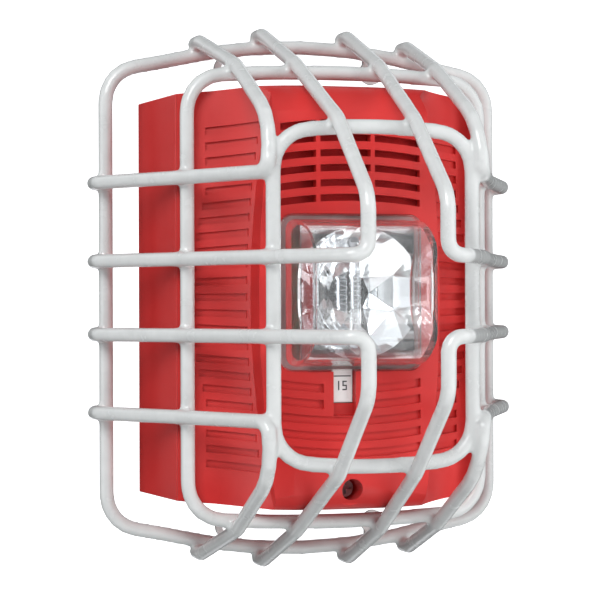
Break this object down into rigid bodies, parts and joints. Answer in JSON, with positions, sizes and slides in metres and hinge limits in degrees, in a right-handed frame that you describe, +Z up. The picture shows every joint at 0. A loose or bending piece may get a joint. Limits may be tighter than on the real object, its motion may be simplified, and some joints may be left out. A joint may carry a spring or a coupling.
{
  "type": "horn strobe",
  "caption": "Red wall horn strobe on a surface back box with a clear dome lens, sound grille and side louvres, under a white welded wire guard.",
  "frame": {"origin": "on the wall, at the centre of the back box's rear face", "axes": "+X to the right of someone facing the device, +Y into the wall, +Z up"},
  "size_m": [0.171, 0.1313, 0.2098],
  "materials": {
    "red_plastic": "fine satin moulded red plastic",
    "white_coat": "glossy white dip-coated steel wire",
    "black_plastic": "matt moulded black plastic",
    "black_rubber": "matt black rubber",
    "grey_foam": "light grey foam",
    "zinc_steel": "zinc-plated steel",
    "green_screw": "green-dyed plated steel",
    "brass": "bright brass",
    "green_board": "green solder mask",
    "blue_sleeve": "glossy blue sleeve",
    "copper_winding": "enamelled copper winding",
    "ferrite": "grey-black ferrite",
    "dark_mesh": "fine dark screen",
    "tube_glass": "clear quartz glass",
    "mirror_chrome": "vacuum-metallised mirror",
    "clear_lens": "clear polycarbonate",
    "white_plastic": "satin white plastic",
    "label_white": "matt white label"
  },
  "bodies": {
    "root": {"back_box": "red_plastic", "threaded_inserts": "brass", "cable_grommet": "black_rubber", "conduit_plugs": "red_plastic", "ground_screw": "green_screw", "mounting_plate": "black_plastic", "plate_screws": "zinc_steel", "terminal_block": "black_plastic", "terminal_screws": "zinc_steel", "terminal_clamps": "brass", "shorting_spring": "brass", "box_gasket": "black_rubber", "front_housing": "red_plastic", "rear_cover": "black_plastic", "rear_cover_screws": "zinc_steel", "contact_pins": "brass", "circuit_board": "green_board", "flash_capacitor": "blue_sleeve", "filter_capacitors": "blue_sleeve", "trigger_transformer": "copper_winding", "boost_inductor": "ferrite", "control_chip": "black_plastic", "sounder_disc": "brass", "sounder_chamber": "black_plastic", "insect_screen": "dark_mesh", "flash_tube": "tube_glass", "tube_leads": "zinc_steel", "reflector": "mirror_chrome", "strobe_lens": "clear_lens", "lens_gasket": "grey_foam", "candela_switch": "black_plastic", "tone_switch": "blue_sleeve", "guard_back_ring": "white_coat", "guard_middle_ring": "white_coat", "guard_front_ring": "white_coat", "guard_outer_wire_1": "white_coat", "guard_outer_wire_2": "white_coat", "guard_outer_wire_3": "white_coat", "guard_outer_wire_4": "white_coat", "guard_inner_wire_1": "white_coat", "guard_inner_wire_2": "white_coat", "guard_inner_wire_3": "white_coat", "guard_inner_wire_4": "white_coat", "guard_lugs": "white_coat"},
    "candela_slider": {"candela_slider": "white_plastic", "candela_label": "label_white"},
    "tone_rotor": {"tone_rotor": "white_plastic"},
    "cover_screw": {"cover_screw": "zinc_steel", "screw_retainer": "black_plastic"}
  },
  "joints": [
    {"name": "candela_slide", "type": "slide", "parent": "root", "child": "candela_slider", "axis": [0, 0, 1], "range_m": [0, 0.006]},
    {"name": "tone_turn", "type": "hinge", "parent": "root", "child": "tone_rotor", "pos_m": [0.02, -0.044, -0.02], "axis": [0, 1, 0], "range_deg": [-150, 150]},
    {"name": "cover_screw_turn", "type": "hinge", "parent": "root", "child": "cover_screw", "pos_m": [0, -0.045, -0.071], "axis": [0, 1, 0], "continuous": true}
  ]
}
